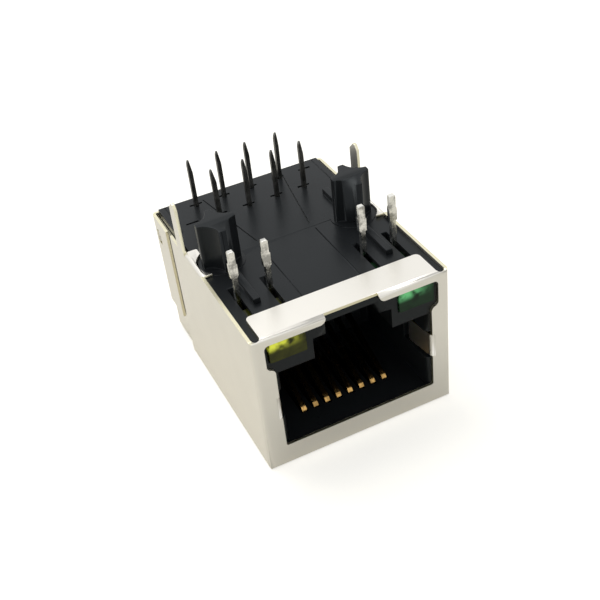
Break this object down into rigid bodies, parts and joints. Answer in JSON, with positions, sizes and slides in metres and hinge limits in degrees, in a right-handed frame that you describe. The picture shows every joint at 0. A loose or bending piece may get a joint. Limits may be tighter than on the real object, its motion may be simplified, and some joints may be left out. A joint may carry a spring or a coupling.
{
  "type": "shielded modular jack for a circuit board",
  "caption": "Shielded board jack for a modular plug, with lamps over the port, magnetics behind it, and its solder pins and lobed posts pointing up.",
  "frame": {"origin": "under the middle of the part, on the outside of the shield's roof, which it rests on", "axes": "+Z towards the circuit board, along the pins and posts; -Y is the port side, where the plug goes in; +X is to the right seen from the port side. In use the part is turned over so that +Z points down into the board."},
  "size_m": [0.016, 0.0212, 0.0168],
  "materials": {
    "shield_sheet": "bright tin-nickel plate on thin sheet",
    "housing_plastic": "black glass-filled plastic, satin",
    "case_plastic": "black plastic, satin, with faint mould lines",
    "carrier_plastic": "black plastic, satin",
    "board_laminate": "green laminate with solder resist",
    "lens_yellow": "clear yellow-green epoxy",
    "lens_green": "clear green epoxy",
    "lead_tin": "bright tinned steel",
    "pin_tin": "dull tin plate on square wire",
    "contact_gold": "gold plate on spring bronze",
    "core_ferrite": "dark grey ferrite",
    "winding_copper": "enamelled copper wire",
    "resistor_ceramic": "black chip resistor",
    "capacitor_ceramic": "tan ceramic chip"
  },
  "bodies": {
    "root": {"shield": "shield_sheet", "housing": "housing_plastic", "magnetics_case": "case_plastic", "contact_carrier": "carrier_plastic", "circuit_board": "board_laminate", "led_left": "lens_yellow", "led_right": "lens_green", "led_lead_1": "lead_tin", "led_lead_2": "lead_tin", "led_lead_3": "lead_tin", "led_lead_4": "lead_tin", "contact_1": "contact_gold", "contact_2": "contact_gold", "contact_3": "contact_gold", "contact_4": "contact_gold", "contact_5": "contact_gold", "contact_6": "contact_gold", "contact_7": "contact_gold", "contact_8": "contact_gold", "signal_pin_1": "pin_tin", "signal_pin_2": "pin_tin", "signal_pin_3": "pin_tin", "signal_pin_4": "pin_tin", "signal_pin_5": "pin_tin", "signal_pin_6": "pin_tin", "signal_pin_7": "pin_tin", "signal_pin_8": "pin_tin", "ring_core_1": "core_ferrite", "ring_core_2": "core_ferrite", "ring_core_3": "core_ferrite", "ring_core_4": "core_ferrite", "winding_1": "winding_copper", "winding_2": "winding_copper", "winding_3": "winding_copper", "winding_4": "winding_copper", "resistor_1": "resistor_ceramic", "resistor_2": "resistor_ceramic", "resistor_3": "resistor_ceramic", "resistor_4": "resistor_ceramic", "capacitor": "capacitor_ceramic"}
  },
  "joints": []
}
